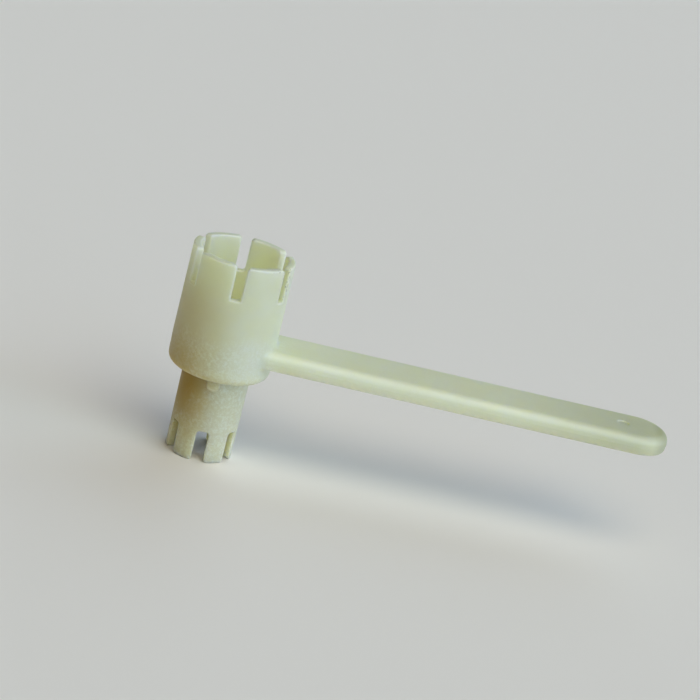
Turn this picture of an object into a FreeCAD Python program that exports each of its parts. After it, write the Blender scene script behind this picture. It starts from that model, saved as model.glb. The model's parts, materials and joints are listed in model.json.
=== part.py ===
import FreeCAD, Part
import math
import os

import Sketcher
from FreeCAD import Placement, Rotation, Vector

# String winder: one plastic moulding with a large slotted socket on top, a small slotted
# socket below it on the same axis, and a flat bar handle that stands out sideways. A small
# lug hangs from the shoulder between the sockets, nearly in line with a pair of slots.
#
# Frame, in millimetres: the origin is on the sockets' common axis, at the floor of the large
# socket. +Z points out of the large socket's mouth and +X runs along the handle to its tip.
# The members of the moulding meet face to face, each on its own plane across the plastic.

DIMENSIONS = (
    ("finger_count", 6),
    ("large_foot_radius", 13.65),
    ("large_rim_radius", 13.45),
    ("large_bore_radius", 11.4),
    ("large_height", 29.9),
    ("large_slot_depth", 9.2),
    ("large_slot_floor_width", 2.6),
    ("large_slot_mouth_width", 2.7),
    ("web_thickness", 2.7),
    ("underside_edge_radius", 1.9),
    ("small_root_radius", 9.0),
    ("small_tip_radius", 8.8),
    ("small_bore_radius", 6.75),
    ("small_length", 24.0),
    ("small_slot_depth", 8.5),
    ("small_slot_width", 3.2),
    ("finger_corner_radius", 1.0),
    ("finger_edge_radius", 0.4),
    ("lug_azimuth", -92),
    ("lug_width", 3.5),
    ("lug_height", 3.2),
    ("lug_reach", 10.4),
    ("lug_nose_radius", 1.5),
    ("lug_edge_radius", 0.4),
    ("handle_underside", 2.2),
    ("handle_thickness", 5.1),
    ("handle_width", 17.4),
    ("handle_reach", 120.0),
    ("handle_top_edge_radius", 1.8),
    ("handle_lower_edge_radius", 1.1),
    ("handle_root_reach", 15.0),
    ("handle_root_fillet", 1.0),
    ("ejector_mark_reach", 107.5),
    ("ejector_mark_radius", 1.55),
    ("ejector_mark_depth", 0.4),
)

# Radii and levels that follow from the driving dimensions.
LARGE_SLOT_FLOOR = "dims.large_height - dims.large_slot_depth"
LARGE_TAPER = "(dims.large_foot_radius - dims.large_rim_radius) / dims.large_height"
LARGE_SLOT_FLOOR_RADIUS = f"dims.large_foot_radius - ({LARGE_SLOT_FLOOR}) * {LARGE_TAPER}"
HANDLE_TOP = "dims.handle_underside + dims.handle_thickness"
UNDERSIDE = "-dims.web_thickness"
LUG_NOSE = "-dims.web_thickness - dims.lug_height"
SMALL_TIP = "-dims.web_thickness - dims.small_length"
SMALL_SLOT_FLOOR = f"{SMALL_TIP} + dims.small_slot_depth"
SMALL_TAPER = "(dims.small_root_radius - dims.small_tip_radius) / dims.small_length"
SMALL_SLOT_FLOOR_RADIUS = f"dims.small_tip_radius + dims.small_slot_depth * {SMALL_TAPER}"
HALF_PITCH = "180 / dims.finger_count"

# Slots are cut this much past the finger's free end, so that no skin is left across them.
SLOT_OVERSHOOT = "1"
# Edges are sorted by place to within this distance.
NEAR = 1e-3

doc = FreeCAD.newDocument("string_winder")
sheet = doc.addObject("Spreadsheet::Sheet", "dims")


def fill_sheet():
    """Writes each driving dimension to a row of the sheet, with its name as the alias."""
    for row, (alias, value) in enumerate(DIMENSIONS, start=1):
        sheet.set(f"A{row}", alias)
        sheet.set(f"B{row}", str(value))
        sheet.setAlias(f"B{row}", alias)
    doc.recompute()


def value_of(expression):
    """The number that an expression over the sheet's aliases gives now."""
    result = sheet.evalExpression(expression)
    return float(getattr(result, "Value", result))


def new_body(label, turn=0.0):
    """An empty body with its own label, turned about the socket axis by an angle in degrees."""
    body = doc.addObject("PartDesign::Body", label)
    body.Label = label
    body.Placement = Placement(Vector(0, 0, 0), Rotation(Vector(0, 0, 1), turn))
    return body


def origin_plane(body, role):
    """One of the body's own origin planes: XY_Plane, XZ_Plane or YZ_Plane."""
    return next(item for item in body.Origin.OriginFeatures if item.Role == role)


def new_sketch(body, name, plane_role):
    """An empty sketch that lies on one of the body's origin planes."""
    sketch = body.newObject("Sketcher::SketchObject", f"{body.Label}_{name}")
    sketch.AttachmentSupport = [(origin_plane(body, plane_role), "")]
    sketch.MapMode = "FlatFace"
    return sketch


def raise_sketch(sketch, height):
    """Moves a sketch along its plane's normal by the value of an expression."""
    sketch.AttachmentOffset = Placement(Vector(0, 0, value_of(height)), Rotation())
    sketch.setExpression("AttachmentOffset.Base.z", height)


def bind_point(sketch, geometry, end, x_expression, y_expression):
    """Holds one point of a sketch at the values of two expressions, from the sketch's origin."""
    for kind, expression in (("DistanceX", x_expression), ("DistanceY", y_expression)):
        index = sketch.addConstraint(
            Sketcher.Constraint(kind, -1, 1, geometry, end, value_of(expression)))
        sketch.setExpression(f"Constraints[{index}]", expression)


def draw_polygon(sketch, corners):
    """A closed outline of straight lines through corners given as pairs of expressions."""
    points = [Vector(value_of(x), value_of(y), 0) for x, y in corners]
    count = len(points)
    for index in range(count):
        sketch.addGeometry(Part.LineSegment(points[index], points[(index + 1) % count]), False)
    for index, (x, y) in enumerate(corners):
        sketch.addConstraint(Sketcher.Constraint("Coincident", index, 2, (index + 1) % count, 1))
        bind_point(sketch, index, 1, x, y)


def draw_circle(sketch, x, y, radius):
    """A circle whose centre and radius are the values of expressions."""
    centre = Vector(value_of(x), value_of(y), 0)
    circle = sketch.addGeometry(Part.Circle(centre, Vector(0, 0, 1), value_of(radius)), False)
    bind_point(sketch, circle, 3, x, y)
    index = sketch.addConstraint(Sketcher.Constraint("Radius", circle, value_of(radius)))
    sketch.setExpression(f"Constraints[{index}]", radius)


def revolve(body, name, sketch, angle="360"):
    """Turns a profile about the socket axis, evenly to both sides of its plane."""
    feature = body.newObject("PartDesign::Revolution", f"{body.Label}_{name}")
    feature.Profile = sketch
    feature.ReferenceAxis = (sketch, ["V_Axis"])
    feature.Midplane = True
    feature.setExpression("Angle", angle)
    doc.recompute()
    return feature


def pad(body, name, sketch, length):
    """Raises a sketch along its plane's normal by the value of an expression."""
    feature = body.newObject("PartDesign::Pad", f"{body.Label}_{name}")
    feature.Profile = sketch
    feature.setExpression("Length", length)
    doc.recompute()
    return feature


def cut_both_ways(body, name, sketch):
    """Cuts a sketch through the whole body, to both sides of its plane."""
    before = body.Shape.Volume
    feature = body.newObject("PartDesign::Pocket", f"{body.Label}_{name}")
    feature.Profile = sketch
    feature.Type = "ThroughAll"
    feature.Midplane = True
    doc.recompute()
    require(body.Shape.Volume < before - NEAR, f"{feature.Name} cut nothing")
    return feature


def round_edges(body, name, test, radius):
    """Rounds the edges of the body's last feature that pass a test."""
    base = body.Tip
    names = [f"Edge{index}" for index, edge in enumerate(base.Shape.Edges, start=1) if test(edge)]
    require(names, f"{body.Label} has no edge for {name}")
    feature = body.newObject("PartDesign::Fillet", f"{body.Label}_{name}")
    feature.Base = (base, names)
    feature.setExpression("Radius", radius)
    doc.recompute()
    return feature


def require(condition, message):
    """Stops the build with a message unless the condition holds."""
    if not condition:
        raise RuntimeError(message)


def near(first, second):
    """Whether two numbers are the same to within the sorting distance."""
    return abs(first - second) < NEAR


def at_height(edge, height):
    """Whether an edge lies wholly in the level plane at a height."""
    return near(edge.BoundBox.ZMin, height) and near(edge.BoundBox.ZMax, height)


def is_radial(edge):
    """Whether an edge is a straight line that runs across the wall, from bore to outside."""
    return isinstance(edge.Curve, Part.Line) and near(edge.BoundBox.ZLength, 0)


def build_large_barrel():
    """The unslotted wall of the large socket, with the stub that the handle bar joins."""
    body = new_body("large_socket_barrel")

    wall = new_sketch(body, "wall_profile", "XZ_Plane")
    draw_polygon(wall, (
        ("0", "0"),
        ("dims.large_foot_radius", "0"),
        (LARGE_SLOT_FLOOR_RADIUS, LARGE_SLOT_FLOOR),
        ("0", LARGE_SLOT_FLOOR),
    ))
    revolve(body, "wall", wall)

    stub = new_sketch(body, "stub_plan", "XY_Plane")
    raise_sketch(stub, "dims.handle_underside")
    draw_polygon(stub, (
        ("0", "-dims.handle_width / 2"),
        ("dims.handle_root_reach", "-dims.handle_width / 2"),
        ("dims.handle_root_reach", "dims.handle_width / 2"),
        ("0", "dims.handle_width / 2"),
    ))
    pad(body, "stub", stub, "dims.handle_thickness")

    half_width = value_of("dims.handle_width / 2")
    foot_radius = value_of("dims.large_foot_radius")
    bottom = value_of("dims.handle_underside")
    top = value_of(HANDLE_TOP)

    def is_long_stub_edge(edge, level):
        box = edge.BoundBox
        runs_along_x = near(box.YLength, 0) and at_height(edge, level)
        return runs_along_x and near(abs(box.YMax), half_width)

    round_edges(body, "top_stub_edges", lambda edge: is_long_stub_edge(edge, top),
                "dims.handle_top_edge_radius")
    round_edges(body, "lower_stub_edges", lambda edge: is_long_stub_edge(edge, bottom),
                "dims.handle_lower_edge_radius")

    def is_root_edge(edge):
        box = edge.BoundBox
        at_stub_level = box.ZMin > bottom - NEAR and box.ZMax < top + NEAR
        return at_stub_level and box.XMin > 0 and box.XMax < foot_radius

    round_edges(body, "root_fillet", is_root_edge, "dims.handle_root_fillet")

    bore = new_sketch(body, "bore_circle", "XY_Plane")
    draw_circle(bore, "0", "0", "dims.large_bore_radius")
    cut_both_ways(body, "bore", bore)
    return body


def build_shoulder():
    """The disc that floors the large socket, and steps in to the small one."""
    body = new_body("socket_shoulder")
    plan = new_sketch(body, "plan", "XY_Plane")
    raise_sketch(plan, UNDERSIDE)
    draw_circle(plan, "0", "0", "dims.large_foot_radius")
    pad(body, "disc", plan, "dims.web_thickness")
    underside = value_of(UNDERSIDE)
    round_edges(body, "lower_edge", lambda edge: at_height(edge, underside),
                "dims.underside_edge_radius")
    return body


def build_small_barrel():
    """The unslotted wall of the small socket, below the shoulder."""
    body = new_body("small_socket_barrel")
    wall = new_sketch(body, "wall_profile", "XZ_Plane")
    draw_polygon(wall, (
        ("dims.small_bore_radius", UNDERSIDE),
        ("dims.small_bore_radius", SMALL_SLOT_FLOOR),
        (SMALL_SLOT_FLOOR_RADIUS, SMALL_SLOT_FLOOR),
        ("dims.small_root_radius", UNDERSIDE),
    ))
    revolve(body, "wall", wall)
    return body


def build_lug():
    """The round-nosed lug that hangs from the shoulder, against the small barrel's wall."""
    body = new_body("shoulder_lug", value_of("dims.lug_azimuth"))
    outline = new_sketch(body, "outline", "YZ_Plane")
    raise_sketch(outline, "dims.small_bore_radius")
    draw_polygon(outline, (
        ("-dims.lug_width / 2", UNDERSIDE),
        ("-dims.lug_width / 2", LUG_NOSE),
        ("dims.lug_width / 2", LUG_NOSE),
        ("dims.lug_width / 2", UNDERSIDE),
    ))
    pad(body, "block", outline, "dims.lug_reach - dims.small_bore_radius")

    nose = value_of(LUG_NOSE)
    underside = value_of(UNDERSIDE)
    reach = value_of("dims.lug_reach")

    def is_nose_corner(edge):
        return at_height(edge, nose) and near(edge.BoundBox.YLength, 0)

    round_edges(body, "nose", is_nose_corner, "dims.lug_nose_radius")

    def is_front_edge(edge):
        at_front = near(edge.BoundBox.XMin, reach) and near(edge.BoundBox.XMax, reach)
        return at_front and not at_height(edge, underside)

    round_edges(body, "front_edges", is_front_edge, "dims.lug_edge_radius")

    barrel = new_sketch(body, "barrel_profile", "XZ_Plane")
    draw_polygon(barrel, (
        ("0", UNDERSIDE),
        ("0", SMALL_SLOT_FLOOR),
        (SMALL_SLOT_FLOOR_RADIUS, SMALL_SLOT_FLOOR),
        ("dims.small_root_radius", UNDERSIDE),
    ))
    before = body.Shape.Volume
    groove = body.newObject("PartDesign::Groove", "shoulder_lug_barrel_cut")
    groove.Profile = barrel
    groove.ReferenceAxis = (barrel, ["V_Axis"])
    groove.Angle = 360
    doc.recompute()
    require(body.Shape.Volume < before - NEAR, "the lug isn't cut to the barrel's wall")
    return body


def build_finger(label, turn, profile, slot, free_end):
    """One finger of a slotted rim, centred on +X and then turned to its place.

    profile is the wall's section, slot the outline of the gap beside the finger, and free_end
    the height of the finger's tip, all as expressions. Both neighbouring gaps are cut half
    into this finger's pitch, and the corners and edges of its free end are rounded.
    """
    body = new_body(label, turn)
    wall = new_sketch(body, "wall_profile", "XZ_Plane")
    draw_polygon(wall, profile)
    revolve(body, "wall", wall, "360 / dims.finger_count")

    for name, sign in (("left", 1), ("right", -1)):
        gap = new_sketch(body, f"{name}_gap", "YZ_Plane")
        turn_about_axis = Rotation(Vector(0, sign, 0), value_of(HALF_PITCH))
        gap.AttachmentOffset = Placement(Vector(0, 0, 0), turn_about_axis)
        gap.setExpression("AttachmentOffset.Rotation.Angle", HALF_PITCH)
        draw_polygon(gap, slot)
        cut_both_ways(body, f"{name}_cut", gap)

    tip = value_of(free_end)
    round_edges(body, "corners", lambda edge: at_height(edge, tip) and is_radial(edge),
                "dims.finger_corner_radius")

    def is_rim_edge(edge):
        return at_height(edge, tip) and not is_radial(edge)

    round_edges(body, "rim_edges", is_rim_edge, "dims.finger_edge_radius")
    return body


def build_large_finger(index, turn):
    """One of the fingers of the large socket; the gaps between them widen to the rim."""
    profile = (
        ("dims.large_bore_radius", LARGE_SLOT_FLOOR),
        (LARGE_SLOT_FLOOR_RADIUS, LARGE_SLOT_FLOOR),
        ("dims.large_rim_radius", "dims.large_height"),
        ("dims.large_bore_radius", "dims.large_height"),
    )
    slot = (
        ("-dims.large_slot_floor_width / 2", LARGE_SLOT_FLOOR),
        ("dims.large_slot_floor_width / 2", LARGE_SLOT_FLOOR),
        ("dims.large_slot_mouth_width / 2", "dims.large_height"),
        ("dims.large_slot_mouth_width / 2", f"dims.large_height + {SLOT_OVERSHOOT}"),
        ("-dims.large_slot_mouth_width / 2", f"dims.large_height + {SLOT_OVERSHOOT}"),
        ("-dims.large_slot_mouth_width / 2", "dims.large_height"),
    )
    return build_finger(f"large_socket_finger_{index}", turn, profile, slot, "dims.large_height")


def build_small_finger(index, turn):
    """One of the fingers of the small socket; the gaps between them have parallel sides."""
    profile = (
        ("dims.small_bore_radius", SMALL_TIP),
        ("dims.small_tip_radius", SMALL_TIP),
        (SMALL_SLOT_FLOOR_RADIUS, SMALL_SLOT_FLOOR),
        ("dims.small_bore_radius", SMALL_SLOT_FLOOR),
    )
    slot = (
        ("-dims.small_slot_width / 2", SMALL_SLOT_FLOOR),
        ("-dims.small_slot_width / 2", f"{SMALL_TIP} - {SLOT_OVERSHOOT}"),
        ("dims.small_slot_width / 2", f"{SMALL_TIP} - {SLOT_OVERSHOOT}"),
        ("dims.small_slot_width / 2", SMALL_SLOT_FLOOR),
    )
    return build_finger(f"small_socket_finger_{index}", turn, profile, slot, SMALL_TIP)


def build_handle():
    """The flat bar from the stub to its round end, with an ejector pin's mark near the end."""
    body = new_body("handle_bar")
    plan = new_sketch(body, "plan", "XY_Plane")
    raise_sketch(plan, "dims.handle_underside")

    root = value_of("dims.handle_root_reach")
    half_width = value_of("dims.handle_width / 2")
    end_centre = value_of("dims.handle_reach - dims.handle_width / 2")
    end_circle = Part.Circle(Vector(end_centre, 0, 0), Vector(0, 0, 1), half_width)
    near_side = plan.addGeometry(
        Part.LineSegment(Vector(root, -half_width, 0), Vector(end_centre, -half_width, 0)), False)
    round_end = plan.addGeometry(
        Part.ArcOfCircle(end_circle, -math.pi / 2, math.pi / 2), False)
    far_side = plan.addGeometry(
        Part.LineSegment(Vector(end_centre, half_width, 0), Vector(root, half_width, 0)), False)
    root_face = plan.addGeometry(
        Part.LineSegment(Vector(root, half_width, 0), Vector(root, -half_width, 0)), False)
    plan.addConstraint(Sketcher.Constraint("Horizontal", near_side))
    plan.addConstraint(Sketcher.Constraint("Tangent", near_side, 2, round_end, 1))
    plan.addConstraint(Sketcher.Constraint("Tangent", round_end, 2, far_side, 1))
    plan.addConstraint(Sketcher.Constraint("Coincident", far_side, 2, root_face, 1))
    plan.addConstraint(Sketcher.Constraint("Coincident", root_face, 2, near_side, 1))
    bind_point(plan, near_side, 1, "dims.handle_root_reach", "-dims.handle_width / 2")
    bind_point(plan, far_side, 2, "dims.handle_root_reach", "dims.handle_width / 2")
    bind_point(plan, round_end, 3, "dims.handle_reach - dims.handle_width / 2", "0")
    pad(body, "bar", plan, "dims.handle_thickness")

    bottom = value_of("dims.handle_underside")
    top = value_of(HANDLE_TOP)

    def is_outline_edge(edge, level):
        return at_height(edge, level) and edge.BoundBox.XMax > root + NEAR

    round_edges(body, "top_edges", lambda edge: is_outline_edge(edge, top),
                "dims.handle_top_edge_radius")
    round_edges(body, "lower_edges", lambda edge: is_outline_edge(edge, bottom),
                "dims.handle_lower_edge_radius")

    mark = new_sketch(body, "ejector_mark_circle", "XY_Plane")
    raise_sketch(mark, HANDLE_TOP)
    draw_circle(mark, "dims.ejector_mark_reach", "0", "dims.ejector_mark_radius")
    before = body.Shape.Volume
    pocket = body.newObject("PartDesign::Pocket", "handle_bar_ejector_mark")
    pocket.Profile = mark
    pocket.setExpression("Length", "dims.ejector_mark_depth")
    doc.recompute()
    require(body.Shape.Volume < before - NEAR, "the ejector mark cut nothing")
    return body


def check(bodies):
    """Stops unless every object of the document was made and every sub-part is a sound solid."""
    doc.recompute()
    for item in doc.Objects:
        bad_states = {"Invalid", "Error"} & set(item.State)
        require(not bad_states, f"{item.Name} is {item.State}")
    for body in bodies:
        shape = body.Shape
        sound = not shape.isNull() and shape.isValid() and len(shape.Solids) == 1
        require(sound, f"{body.Label} is not one sound solid")


def main():
    fill_sheet()
    finger_count = int(value_of("dims.finger_count"))
    pitch = 360 / finger_count
    bodies = [build_large_barrel(), build_shoulder(), build_small_barrel()]
    for index in range(finger_count):
        bodies.append(build_large_finger(index + 1, index * pitch))
        bodies.append(build_small_finger(index + 1, index * pitch))
    bodies += [build_lug(), build_handle()]
    check(bodies)

    os.makedirs("parts", exist_ok=True)
    for body in bodies:
        body.Shape.exportStep(f"parts/{body.Label}.step")
        print(f"{body.Label}: {body.Shape.Volume:.1f} mm3")


main()
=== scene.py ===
import json
import math

import bmesh
import bpy
import numpy as np
import openvdb
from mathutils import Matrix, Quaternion, Vector


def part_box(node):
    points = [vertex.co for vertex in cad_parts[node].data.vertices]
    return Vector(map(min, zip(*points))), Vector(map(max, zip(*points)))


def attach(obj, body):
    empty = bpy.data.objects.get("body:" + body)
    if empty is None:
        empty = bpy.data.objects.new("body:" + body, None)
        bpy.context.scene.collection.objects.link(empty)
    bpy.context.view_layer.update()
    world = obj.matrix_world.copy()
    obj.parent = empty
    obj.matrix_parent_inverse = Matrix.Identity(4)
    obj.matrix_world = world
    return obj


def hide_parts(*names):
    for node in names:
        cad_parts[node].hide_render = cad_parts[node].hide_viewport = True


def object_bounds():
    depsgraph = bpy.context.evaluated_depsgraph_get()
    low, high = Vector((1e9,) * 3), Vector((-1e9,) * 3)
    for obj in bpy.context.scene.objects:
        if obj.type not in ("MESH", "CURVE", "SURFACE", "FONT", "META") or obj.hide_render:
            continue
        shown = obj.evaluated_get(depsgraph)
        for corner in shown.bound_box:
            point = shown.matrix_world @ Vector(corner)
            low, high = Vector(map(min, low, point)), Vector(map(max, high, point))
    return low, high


# A moulded nylon string winder. The plastic is one moulding, so its skins are made as level
# sets: each is a function that gives the distance from any point to the plastic's surface,
# negative inside. Lengths in these functions are millimetres in the part's frame.

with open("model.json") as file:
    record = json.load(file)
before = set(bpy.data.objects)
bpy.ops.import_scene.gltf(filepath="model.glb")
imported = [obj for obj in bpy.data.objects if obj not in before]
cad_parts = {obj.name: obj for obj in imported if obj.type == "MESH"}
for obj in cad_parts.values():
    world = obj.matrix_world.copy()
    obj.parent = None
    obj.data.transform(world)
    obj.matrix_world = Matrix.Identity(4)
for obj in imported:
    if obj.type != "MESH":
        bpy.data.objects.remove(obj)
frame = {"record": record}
cad_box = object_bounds()

MM = 0.001


def box_mm(node):
    """Lowest and highest corner of a CAD node, in millimetres."""
    low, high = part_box(node)
    return low / MM, high / MM


def bore_radius_mm(mount_name):
    """Radius of a socket's bore, as the record states it."""
    mount = next(item for item in frame["record"]["mounts"] if item["name"] == mount_name)
    return mount["dims"]["r_mm"]


# ---------------------------------------------------------------- sizes from the frame

FINGERS = 6
PITCH = 2 * math.pi / FINGERS

shoulder_low, shoulder_high = box_mm("socket_shoulder")
small_low, small_high = box_mm("small_socket_barrel")
handle_low, handle_high = box_mm("handle_bar")
lug_low = box_mm("shoulder_lug")[0]

FOOT_RADIUS = shoulder_high.x
UNDERSIDE = shoulder_low.z
RIM = cad_box[1].z / MM
LARGE_BORE = bore_radius_mm("large_socket")
LARGE_SLOT_FLOOR = box_mm("large_socket_finger_1")[0].z

SMALL_RADIUS = small_high.x
SMALL_BORE = bore_radius_mm("small_socket")
SMALL_SLOT_FLOOR = small_low.z
TIP = cad_box[0].z / MM

HANDLE_HALF_WIDTH = handle_high.y
HANDLE_TOP = handle_high.z
HANDLE_UNDERSIDE = handle_low.z
HANDLE_END_CENTRE = handle_high.x - HANDLE_HALF_WIDTH
LUG_REACH = -lug_low.y

# ---------------------------------------------------------------- moulding details

RIM_RADIUS = 13.45
LARGE_SLOT_WIDTH_FLOOR = 2.6
LARGE_SLOT_WIDTH_RIM = 2.7
SMALL_SLOT_WIDTH = 3.2
SMALL_TIP_RADIUS = 8.8

UNDERSIDE_ROUNDING = 1.9
BORE_FLOOR_FILLET = 0.6
ROOT_FILLET = 1.0
HANDLE_TOP_ROUNDING = 2.2
HANDLE_LOWER_ROUNDING = 1.1
FINGER_CORNER = 1.0
FINGER_ROUNDING = 0.4
FRONT_SLOT_CORNER = 0.25
BACK_SLOT_CORNER = 0.9
SMALL_SLOT_CORNER = 0.8
SMALL_ROOT_FILLET = 0.7

LUG_AZIMUTH = math.radians(-92)
LUG_WIDTH = 3.5
LUG_NOSE = 1.5
LUG_ROUNDING = 0.4
LUG_FILLET = 0.3

# The mould parts at this height, and the walls lean away from it both ways.
PARTING_HEIGHT = 4.4
PARTING_STEP = 0.06
PARTING_BAND = 0.2
HANDLE_DRAFT = math.tan(math.radians(4))
CUP_FOOT_DRAFT = math.tan(math.radians(1.5))

EJECTOR_MARK_CENTRE = 107.5
EJECTOR_MARK_RADIUS = 1.55
EJECTOR_MARK_DEPTH = 0.34
MARK_ROUNDING = 0.15

# The small socket's skin starts a little inside the cup's underside, and goes on up into it.
SKIN_SINK = 0.02
SKIN_OVERLAP = 0.8
FLARE_REACH = LUG_REACH + 1.5 * SMALL_ROOT_FILLET
SMALL_SKIN_REACH = LUG_REACH + 1.1

# ---------------------------------------------------------------- wear, painted light and shade

# How far below the surface an edge is felt, and the share of that depth that makes a full edge.
EDGE_REACH = 0.7
EDGE_FULL = 0.4
# Edge share of painted highlight and grime: this much low down, all of it from this height up.
LOW_EDGE_HIGHLIGHT_AND_GRIME = 0.2
LOW_EDGE_HEIGHT = 3.0

# Handling has frosted the skin, fully up to the lower height and not at all above the other.
FROST_FULL_HEIGHT = 3.0
FROST_TOP_HEIGHT = 15.0
HANDLE_FROST_AND_SHADE = 0.35
FROST_LOST_TO_SHADE = 0.9

# How much yellow-brown shade is painted on some places, and the height above which
# the cup's painted shade fades out.
SMALL_SOCKET_SHADE = 0.26
HANDLE_EDGE_SHADE = 0.22
HANDLE_EDGE_DEPTH = 2.5
INNER_WALL_SHADE = 0.3
SHADE_FADE_HEIGHT = 14.0

# Painted shade darkens the end of the handle, and less the length before it.
END_SHADE_LENGTH = 8.0
END_SHADE_SHARE = 0.4

GRIME_SHARE = 0.45

# ---------------------------------------------------------------- mesh

CELL = 0.25
MARGIN_CELLS = 3
PROJECTIONS = 4


# ---------------------------------------------------------------- level-set tools

def rounded_and(a, b, radius):
    """Where both solids are, with the edge between them rounded."""
    inside = np.minimum(np.maximum(a, b), -radius)
    return inside + np.hypot(np.maximum(a + radius, 0), np.maximum(b + radius, 0))


def rounded_or(a, b, radius):
    """Either solid, with a fillet in the corner between them."""
    return -rounded_and(-a, -b, radius)


def across_slot(x, y):
    """Signed distance from the centre plane of the nearest slot, half a pitch off the fingers."""
    offset = np.mod(np.arctan2(y, x), PITCH) - PITCH / 2
    return np.hypot(x, y) * np.sin(offset)


def gradient(distance, points, step=0.02):
    """Outward normals of a level set at an array of points."""
    slopes = []
    for axis in range(3):
        shift = np.zeros(3)
        shift[axis] = step
        slopes.append(distance(*(points + shift).T) - distance(*(points - shift).T))
    slopes = np.array(slopes).T
    return slopes / np.maximum(np.linalg.norm(slopes, axis=1, keepdims=True), 1e-9)


def blend_over(value, start, end):
    """0 up to start and 1 from end on, with a smooth rise between them."""
    part = np.clip((value - start) / (end - start), 0, 1)
    return part * part * (3 - 2 * part)


def edge_nearness(distance, points, normals):
    """1 at an outer edge and 0 away from it: a point below an edge is nearer to the surface."""
    below = distance(*(points - normals * EDGE_REACH).T)
    return np.clip((below + EDGE_REACH) / (EDGE_FULL * EDGE_REACH), 0, 1)


def handling_frost(points):
    """1 where frosted, most on the cup's foot; along the handle it fades out, as painted shade."""
    x, y, z = points.T
    rho = np.hypot(x, y)
    outside = np.where(z > 0, blend_over(rho, LARGE_BORE + 0.5, LARGE_BORE + 1.5),
                       blend_over(rho, SMALL_BORE + 0.3, SMALL_BORE + 1.2))
    on_sockets = outside * (1 - blend_over(z, FROST_FULL_HEIGHT, FROST_TOP_HEIGHT))
    # Along the handle the frost fades out towards the end, which paints shade there.
    along = blend_over(x, 0.4 * HANDLE_END_CENTRE, 1.1 * HANDLE_END_CENTRE)
    on_handle = HANDLE_FROST_AND_SHADE * (1 - along)
    past_cup = blend_over(rho, FOOT_RADIUS + 0.3, FOOT_RADIUS + 4)
    frost = on_sockets + (on_handle - on_sockets) * past_cup
    return frost * (1 - FROST_LOST_TO_SHADE * painted_shade(points))


def painted_shade(points):
    """1 where yellow-brown shade is painted: most below the cup, on the side away from the handle.

    The handle's lower edges have a little of it too.
    """
    x, y, z = points.T
    rho = np.hypot(x, y)
    away_from_handle = blend_over(-x / np.maximum(rho, SMALL_TIP_RADIUS), -0.55, 0.85)
    outer_wall = blend_over(rho, LARGE_BORE, LARGE_BORE + 1)
    outer_wall = INNER_WALL_SHADE + (1 - INNER_WALL_SHADE) * outer_wall
    away_from_handle *= np.where(z > -1, outer_wall, 1)
    above_shoulder = 0.25 * blend_over(z, -4, -2) + 0.3 * blend_over(z, 0, SHADE_FADE_HEIGHT)
    near_shoulder = ((0.3 + 0.7 * blend_over(z, TIP, -6)) * (1 - above_shoulder)
                     * (1 - blend_over(z, SHADE_FADE_HEIGHT, RIM)))

    on_small_socket = SMALL_SOCKET_SHADE * (1 - blend_over(z, -2, 0))
    below_handle = (HANDLE_EDGE_SHADE * blend_over(x, FOOT_RADIUS, FOOT_RADIUS + 6)
                    * (1 - blend_over(z, HANDLE_UNDERSIDE, HANDLE_UNDERSIDE + HANDLE_EDGE_DEPTH)))
    tone = on_small_socket + below_handle
    return tone + (1 - tone) * away_from_handle * near_shoulder


def handle_end_shade(points):
    """1 at the very end of the handle, where painted shade is darkest, and less before that."""
    x = points[:, 0]
    along = blend_over(x, 0.6 * handle_high.x, 0.96 * handle_high.x)
    on_end = blend_over(x, handle_high.x - END_SHADE_LENGTH, handle_high.x)
    return np.maximum(END_SHADE_SHARE * along, on_end)


def bore_wall_light(points):
    """1 on the large bore's wall, which painted light turns a paler, milky tone."""
    x, y, z = points.T
    return (1 - blend_over(np.hypot(x, y), LARGE_BORE, LARGE_BORE + 0.8)) * blend_over(z, 1, 6)


def milkiness(points):
    """1 along the handle, whose thin bar looks milkier than the sockets."""
    return blend_over(points[:, 0], FOOT_RADIUS + 0.5, FOOT_RADIUS + 12)


def grime_places(points, edges):
    """1 along the edges that hold grime: the rim's, and most of all the slots' by the handle."""
    x, y, z = points.T
    on_rim = blend_over(z, LARGE_SLOT_FLOOR - 1, LARGE_SLOT_FLOOR + 1)
    beside_handle = blend_over(x, 0.2 * RIM_RADIUS, 0.8 * RIM_RADIUS)
    outside = blend_over(np.hypot(x, y), LARGE_BORE + 0.6, LARGE_BORE + 1.2)
    top_face = blend_over(z, RIM - 0.8, RIM - 0.2)
    share = GRIME_SHARE + (1 - GRIME_SHARE) * beside_handle
    return edges * on_rim * np.maximum(outside, top_face) * share


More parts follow.
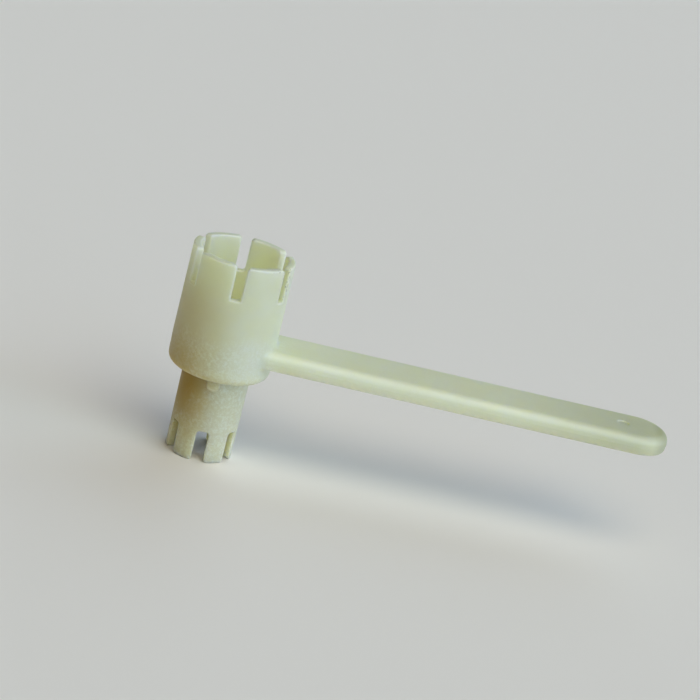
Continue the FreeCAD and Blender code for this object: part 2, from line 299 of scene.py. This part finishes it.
def make_skin(name, distance, low, high):
    """A mesh object on the zero level of a distance function inside a box, all in millimetres."""
    margin = MARGIN_CELLS * CELL
    low = np.array(low) - margin
    high = np.array(high) + margin
    axes = [np.arange(a, b, CELL) for a, b in zip(low, high)]
    x, y, z = np.meshgrid(*axes, indexing="ij")
    grid = openvdb.FloatGrid(margin)
    grid.copyFromArray(np.clip(distance(x, y, z), -margin, margin).astype(np.float32))
    points, quads = grid.convertToQuads(0)
    points = points.astype(float) * CELL + low

    for _ in range(PROJECTIONS):
        points -= gradient(distance, points) * distance(*points.T)[:, None]
    normals = gradient(distance, points)

    mesh = bpy.data.meshes.new(name)
    mesh.from_pydata(points * MM, [], quads)
    mesh.shade_smooth()
    mesh.normals_split_custom_set_from_vertices(normals)
    # Nearness to an edge, which sets both the painted edge highlights and the grime.
    edge_highlight_and_grime = LOW_EDGE_HIGHLIGHT_AND_GRIME + (1 - LOW_EDGE_HIGHLIGHT_AND_GRIME) * blend_over(points[:, 2], 0, LOW_EDGE_HEIGHT)
    edges = edge_nearness(distance, points, normals) * edge_highlight_and_grime
    for mask, values in (("edge", edges), ("frost", handling_frost(points)),
                         ("painted_shade_mask", painted_shade(points)), ("end_shade", handle_end_shade(points)),
                         ("bore_wall_light", bore_wall_light(points)), ("milky", milkiness(points)),
                         ("grimy", grime_places(points, edges))):
        attribute = mesh.attributes.new(mask, "FLOAT", "POINT")
        attribute.data.foreach_set("value", values.astype(np.float32))
    skin = bpy.data.objects.new(name, mesh)
    bpy.context.scene.collection.objects.link(skin)
    return skin


# ---------------------------------------------------------------- shapes

def handle_distance(x, y, z):
    """The flat bar with its round end, and the shallow mark of the ejector pin near the end."""
    beyond_centre = np.maximum(x - HANDLE_END_CENTRE, 0)
    half_width = HANDLE_HALF_WIDTH - np.abs(z - PARTING_HEIGHT) * HANDLE_DRAFT
    above_step = blend_over(z, PARTING_HEIGHT - PARTING_BAND, PARTING_HEIGHT)
    half_width = half_width - PARTING_STEP * (1 - above_step)
    plan = np.hypot(beyond_centre, y) - half_width
    bar = rounded_and(plan, z - HANDLE_TOP, HANDLE_TOP_ROUNDING)
    bar = rounded_and(bar, HANDLE_UNDERSIDE - z, HANDLE_LOWER_ROUNDING)
    mark_side = np.hypot(x - EJECTOR_MARK_CENTRE, y) - EJECTOR_MARK_RADIUS
    mark_floor = HANDLE_TOP - EJECTOR_MARK_DEPTH - z
    mark = rounded_and(mark_side, mark_floor, MARK_ROUNDING)
    bar = rounded_and(bar, -mark, MARK_ROUNDING)
    return np.maximum(bar, SMALL_RADIUS - x)


def large_socket_and_handle(x, y, z):
    """The cup with its slotted rim and floor, filleted to the handle."""
    rho = np.hypot(x, y)
    taper = (FOOT_RADIUS - RIM_RADIUS) / RIM
    foot_lean = np.maximum(PARTING_HEIGHT - z, 0) * CUP_FOOT_DRAFT
    outside = rho - (FOOT_RADIUS - np.maximum(z, 0) * taper - foot_lean)
    cup = rounded_and(outside, UNDERSIDE - z, UNDERSIDE_ROUNDING)
    solid = rounded_or(cup, handle_distance(x, y, z), ROOT_FILLET)
    bore = rounded_and(rho - LARGE_BORE, -z, BORE_FLOOR_FILLET)
    walls = np.maximum(solid, -bore)

    rise = (z - LARGE_SLOT_FLOOR) / (RIM - LARGE_SLOT_FLOOR)
    slot_width = LARGE_SLOT_WIDTH_FLOOR + rise * (LARGE_SLOT_WIDTH_RIM - LARGE_SLOT_WIDTH_FLOOR)
    slot_corner = np.where(y > 0, BACK_SLOT_CORNER, FRONT_SLOT_CORNER)
    slot = rounded_and(np.abs(across_slot(x, y)) - slot_width / 2, LARGE_SLOT_FLOOR - z,
                       slot_corner)
    rim = rounded_and(z - RIM, -slot, FINGER_CORNER)
    return rounded_and(walls, rim, FINGER_ROUNDING)


def shoulder_lug(x, y, z):
    """The round-nosed lug that hangs from the cup's underside, against the small barrel."""
    outwards = x * math.cos(LUG_AZIMUTH) + y * math.sin(LUG_AZIMUTH)
    across = y * math.cos(LUG_AZIMUTH) - x * math.sin(LUG_AZIMUTH)
    front_view = rounded_and(np.abs(across) - LUG_WIDTH / 2, lug_low.z - z, LUG_NOSE)
    lug = rounded_and(front_view, outwards - LUG_REACH, LUG_ROUNDING)
    return np.maximum(lug, SMALL_BORE + 1 - outwards)


def small_socket(x, y, z):
    """The slotted barrel below the cup with its lug, both flared into the cup's underside."""
    rho = np.hypot(x, y)
    taper = (SMALL_RADIUS - SMALL_TIP_RADIUS) / (UNDERSIDE - TIP)
    outside = rho - (SMALL_RADIUS + (z - UNDERSIDE) * taper)
    sunk_underside = UNDERSIDE + SKIN_SINK
    solid = rounded_or(outside, shoulder_lug(x, y, z), LUG_FILLET)
    flared = rounded_or(solid, sunk_underside - z, SMALL_ROOT_FILLET)
    flared = np.maximum(flared, z - (UNDERSIDE + SKIN_OVERLAP))
    flared = np.maximum(flared, rho - FLARE_REACH)
    walls = np.maximum(flared, SMALL_BORE - rho)

    slot = rounded_and(np.abs(across_slot(x, y)) - SMALL_SLOT_WIDTH / 2, z - SMALL_SLOT_FLOOR,
                       SMALL_SLOT_CORNER)
    tip = rounded_and(TIP - z, -slot, FINGER_CORNER)
    return rounded_and(walls, tip, FINGER_ROUNDING)


# ---------------------------------------------------------------- nylon

CLEAR = (0.69, 0.72, 0.50, 1)
CLOUDED = (0.70, 0.74, 0.57, 1)
PAINTED_SHADE_BROWN = (0.42, 0.27, 0.03, 1)
MILKY = (0.80, 0.84, 0.74, 1)
PAINTED_BORE_LIGHT = (0.85, 0.87, 0.66, 1)
PAINTED_END_SHADE = (0.38, 0.41, 0.28, 1)
PAINTED_EDGE_HIGHLIGHT = (0.76, 0.80, 0.66, 1)
FROSTED = (0.78, 0.84, 0.72, 1)
GRIME = (0.26, 0.27, 0.22, 1)

# Turns of the scratches' three directions, in degrees, and their length in widths.
SCRATCH_TURNS = ((0, 0, 20), (35, 50, 0), (-40, 10, 75))
SCRATCH_LENGTH = 7


class Shading:
    """Short ways to add nodes to a material: each call returns the new node's output socket."""

    def __init__(self, material):
        self.nodes = material.node_tree.nodes
        self.links = material.node_tree.links

    def feed(self, socket, source):
        """Gives an input socket a number, a colour or another node's output."""
        if isinstance(source, bpy.types.NodeSocket):
            self.links.new(source, socket)
        else:
            socket.default_value = source

    def attribute(self, name):
        node = self.nodes.new("ShaderNodeAttribute")
        node.attribute_name = name
        return node.outputs["Fac"]

    def millimetres(self, stretch=(1, 1, 1), turn=(0, 0, 0)):
        """The place on the object in millimetres, turned by degrees and then stretched."""
        place = self.nodes.new("ShaderNodeTexCoord")
        mapping = self.nodes.new("ShaderNodeMapping")
        mapping.vector_type = "TEXTURE"
        mapping.inputs["Rotation"].default_value = [math.radians(angle) for angle in turn]
        mapping.inputs["Scale"].default_value = [MM * size for size in stretch]
        self.links.new(place.outputs["Object"], mapping.inputs["Vector"])
        return mapping.outputs["Vector"]

    def noise(self, size, detail=3, roughness=0.5, **place):
        """Noise with features of about this many millimetres."""
        node = self.nodes.new("ShaderNodeTexNoise")
        node.inputs["Scale"].default_value = 1 / size
        node.inputs["Detail"].default_value = detail
        node.inputs["Roughness"].default_value = roughness
        self.links.new(self.millimetres(**place), node.inputs["Vector"])
        return node.outputs["Fac"]

    def ramp(self, source, start, end, low=0.0, high=1.0):
        """Rises smoothly from low to high while the source goes from start to end."""
        node = self.nodes.new("ShaderNodeMapRange")
        node.interpolation_type = "SMOOTHSTEP"
        for name, value in (("Value", source), ("From Min", start), ("From Max", end),
                            ("To Min", low), ("To Max", high)):
            self.feed(node.inputs[name], value)
        return node.outputs["Result"]

    def maths(self, operation, a, b):
        node = self.nodes.new("ShaderNodeMath")
        node.operation = operation
        self.feed(node.inputs[0], a)
        self.feed(node.inputs[1], b)
        return node.outputs["Value"]

    def mix(self, factor, a, b):
        """Colour a, turned to colour b by the factor."""
        node = self.nodes.new("ShaderNodeMix")
        node.data_type = "RGBA"
        self.feed(node.inputs["Factor"], factor)
        self.feed(node.inputs["A"], a)
        self.feed(node.inputs["B"], b)
        return node.outputs["Result"]

    def bump(self, height, depth_mm, normal=None):
        node = self.nodes.new("ShaderNodeBump")
        node.inputs["Distance"].default_value = depth_mm * MM
        self.feed(node.inputs["Height"], height)
        if normal:
            self.links.new(normal, node.inputs["Normal"])
        return node.outputs["Normal"]


def nylon_material():
    """Natural nylon: milky and translucent, satin where new and frosted where scuffed."""
    material = bpy.data.materials.new("natural_nylon")
    material.use_nodes = True
    make = Shading(material)
    shader = make.nodes["Principled BSDF"]

    # The plastic's own tones, with painted shade and painted light mixed in.
    painted_shade_mask = make.attribute("painted_shade_mask")
    body = make.mix(make.ramp(make.noise(9.0, detail=2), 0.3, 0.7), CLEAR, CLOUDED)
    # Painted shade, yellow-brown: below the cup, on the side away from the handle, and along the
    # handle's lower edges.
    body = make.mix(painted_shade_mask, body, PAINTED_SHADE_BROWN)
    body = make.mix(make.maths("MULTIPLY", make.attribute("milky"), 0.35), body, MILKY)
    # Painted light: the bore's wall is paler, as if lit through the wall.
    body = make.mix(make.maths("MULTIPLY", make.attribute("bore_wall_light"), 0.62), body, PAINTED_BORE_LIGHT)
    # Painted shade: darker towards the handle's end.
    body = make.mix(make.attribute("end_shade"), body, PAINTED_END_SHADE)
    # Painted highlights: paler along the edges.
    body = make.mix(make.ramp(make.attribute("edge"), 0.2, 1.0, high=0.3), body, PAINTED_EDGE_HIGHLIGHT)

    # Frost: a fine white speckle, with short scratches across it in three directions.
    patches = make.maths("MULTIPLY", make.noise(5.0, detail=3, roughness=0.6), 0.9)
    frost = make.ramp(make.maths("ADD", make.attribute("frost"), patches), 0.45, 1.45)
    speckle = make.ramp(make.noise(0.8, detail=4, roughness=0.7), 0.42, 0.68)
    scratches = 0.0
    for turn in SCRATCH_TURNS:
        streak = make.noise(0.5, detail=3, roughness=0.6, stretch=(SCRATCH_LENGTH, 1, 1), turn=turn)
        scratches = make.maths("MAXIMUM", scratches, make.ramp(streak, 0.60, 0.68))
    marks = make.maths("MAXIMUM", make.maths("MULTIPLY", speckle, 0.8),
                       make.maths("MULTIPLY", scratches, 0.65))
    marks = make.maths("MULTIPLY", marks, frost)
    haze = make.maths("ADD", make.maths("MULTIPLY", marks, 0.75),
                      make.maths("MULTIPLY", frost, 0.1))
    body = make.mix(haze, body, FROSTED)

    # Grime: a few grey specks that have lodged in the worn edges.
    speck = make.ramp(make.noise(0.45, detail=2, stretch=(1, 1, 1.8)), 0.52, 0.58)
    dirty = make.ramp(make.noise(6.0, detail=1), 0.44, 0.54)
    grime = make.maths("MULTIPLY", speck, make.ramp(make.attribute("grimy"), 0.5, 0.9, high=0.75))
    colour = make.mix(make.maths("MULTIPLY", grime, dirty), body, GRIME)

    # The finish: satin, a little rougher where frosted, and with less gloss where shade is painted.
    satin = make.ramp(make.noise(2.5, detail=4, roughness=0.6), 0.3, 0.7, low=0.42, high=0.50)
    roughness = make.maths("ADD", satin, make.maths("MULTIPLY", frost, 0.08))
    gloss = make.ramp(painted_shade_mask, 0.2, 1.0, low=1.0, high=0.3)
    grain = make.bump(make.noise(0.35, detail=3, roughness=0.6), 0.006)
    dents = make.bump(marks, 0.012, grain)

    make.feed(shader.inputs["Base Color"], colour)
    make.feed(shader.inputs["Roughness"], roughness)
    make.feed(shader.inputs["Specular IOR Level"], gloss)
    make.feed(shader.inputs["Normal"], dents)
    shader.inputs["IOR"].default_value = 1.53
    shader.inputs["Subsurface Weight"].default_value = 1.0
    shader.inputs["Subsurface Radius"].default_value = (1.0, 0.92, 0.5)
    shader.inputs["Subsurface Scale"].default_value = 0.008
    return material


# ---------------------------------------------------------------- build

nylon = nylon_material()

main_skin = make_skin("large_socket_and_handle", large_socket_and_handle,
                      (-FOOT_RADIUS, -FOOT_RADIUS, UNDERSIDE), (handle_high.x, FOOT_RADIUS, RIM))
small_skin = make_skin("small_socket", small_socket,
                       (-SMALL_SKIN_REACH, -SMALL_SKIN_REACH, TIP),
                       (SMALL_SKIN_REACH, SMALL_SKIN_REACH, UNDERSIDE + SKIN_OVERLAP))

fingers = range(1, FINGERS + 1)
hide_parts("large_socket_barrel", "socket_shoulder", "handle_bar",
            *(f"large_socket_finger_{index}" for index in fingers))
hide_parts("small_socket_barrel", "shoulder_lug",
            *(f"small_socket_finger_{index}" for index in fingers))
for skin in (main_skin, small_skin):
    skin.data.materials.append(nylon)
    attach(skin, "root")

# ---------------------------------------------------------------- stage, light and camera

FLOOR_HALF = 6.0
BACKDROP_RADIUS = 5.5
floor_z = cad_box[0].z


def stage_piece(name, mesh, material):
    """Adds a piece of the stage, which isn't part of the object."""
    mesh.materials.append(material)
    piece = bpy.data.objects.new(name, mesh)
    bpy.context.scene.collection.objects.link(piece)
    return piece


def floor_material():
    material = bpy.data.materials.new("floor")
    material.use_nodes = True
    shader = material.node_tree.nodes["Principled BSDF"]
    shader.inputs["Base Color"].default_value = (0.88, 0.845, 0.81, 1)
    shader.inputs["Roughness"].default_value = 0.9
    return material


def backdrop_material():
    """Glows as pale as the lit floor, so that the floor's far edge doesn't show."""
    material = bpy.data.materials.new("backdrop")
    material.use_nodes = True
    nodes = material.node_tree.nodes
    glow = nodes.new("ShaderNodeEmission")
    glow.inputs["Color"].default_value = (0.561, 0.580, 0.572, 1)
    surface = nodes["Material Output"].inputs["Surface"]
    material.node_tree.links.new(glow.outputs["Emission"], surface)
    return material


floor_mesh = bpy.data.meshes.new("floor")
floor_mesh.from_pydata([(-FLOOR_HALF, -FLOOR_HALF, floor_z), (FLOOR_HALF, -FLOOR_HALF, floor_z),
                        (FLOOR_HALF, FLOOR_HALF, floor_z), (-FLOOR_HALF, FLOOR_HALF, floor_z)],
                       [], [(0, 1, 2, 3)])
stage_piece("floor", floor_mesh, floor_material())

# The backdrop is a dome that only the camera sees, so it neither lights nor shades anything.
backdrop_mesh = bpy.data.meshes.new("backdrop")
dome = bmesh.new()
bmesh.ops.create_uvsphere(dome, u_segments=64, v_segments=32, radius=BACKDROP_RADIUS)
dome.to_mesh(backdrop_mesh)
dome.free()
backdrop = stage_piece("backdrop", backdrop_mesh, backdrop_material())
backdrop.visible_diffuse = False
backdrop.visible_glossy = False
backdrop.visible_transmission = False
backdrop.visible_volume_scatter = False
backdrop.visible_shadow = False


def add_sun(name, azimuth, elevation, strength, spread, colour):
    """A soft light from far away; azimuth and elevation say where it comes from."""
    data = bpy.data.lights.new(name, "SUN")
    data.energy = strength
    data.angle = math.radians(spread)
    data.color = colour
    sun = bpy.data.objects.new(name, data)
    a, e = math.radians(azimuth), math.radians(elevation)
    towards = Vector((math.sin(a) * math.cos(e), -math.cos(a) * math.cos(e), math.sin(e)))
    sun.rotation_euler = towards.to_track_quat("Z", "Y").to_euler()
    bpy.context.scene.collection.objects.link(sun)
    return sun


# Broad cool lights low on the right and behind, a warmer one overhead, and the sheen, which makes
# highlights and nothing else. The light from behind makes none.
add_sun("key", 48, 24, 0.93, 60, (0.68, 1.0, 1.2))
add_sun("side", 85, 20, 0.7, 60, (0.95, 0.92, 1.2))
back_light = add_sun("back", 150, 30, 1.12, 60, (0.80, 1.0, 1.2))
back_light.visible_glossy = False
add_sun("top", 15, 60, 1.03, 50, (1.12, 1.0, 0.72))
sheen = add_sun("sheen", -5, 45, 1.8, 90, (0.70, 0.95, 1.35))
sheen.visible_diffuse = False
sheen.visible_transmission = False

world = bpy.data.worlds.new("studio")
bpy.context.scene.world = world
world.use_nodes = True
world.node_tree.nodes["Background"].inputs["Color"].default_value = (1.0, 0.95, 0.85, 1)
world.node_tree.nodes["Background"].inputs["Strength"].default_value = 0.02

CAMERA_AZIMUTH = math.radians(-4.8)
CAMERA_ELEVATION = math.radians(19.67)
CAMERA_ROLL = math.radians(14.53)
CAMERA_DISTANCE = 0.65
CAMERA_TARGET = Vector((32.29, -2.71, 10.97)) * MM

camera_data = bpy.data.cameras.new("camera")
camera_data.sensor_width = 36
camera_data.lens = 128.57
camera_data.clip_start = 0.01
camera_data.clip_end = 100
camera = bpy.data.objects.new("camera", camera_data)
back = Vector((math.sin(CAMERA_AZIMUTH) * math.cos(CAMERA_ELEVATION),
               -math.cos(CAMERA_AZIMUTH) * math.cos(CAMERA_ELEVATION),
               math.sin(CAMERA_ELEVATION)))
camera.location = CAMERA_TARGET + back * CAMERA_DISTANCE
camera.rotation_mode = "QUATERNION"
level = (-back).to_track_quat("-Z", "Y")
camera.rotation_quaternion = level @ Quaternion((0, 0, 1), CAMERA_ROLL)
bpy.context.scene.collection.objects.link(camera)
bpy.context.scene.camera = camera
bpy.context.scene.view_settings.view_transform = "Standard"
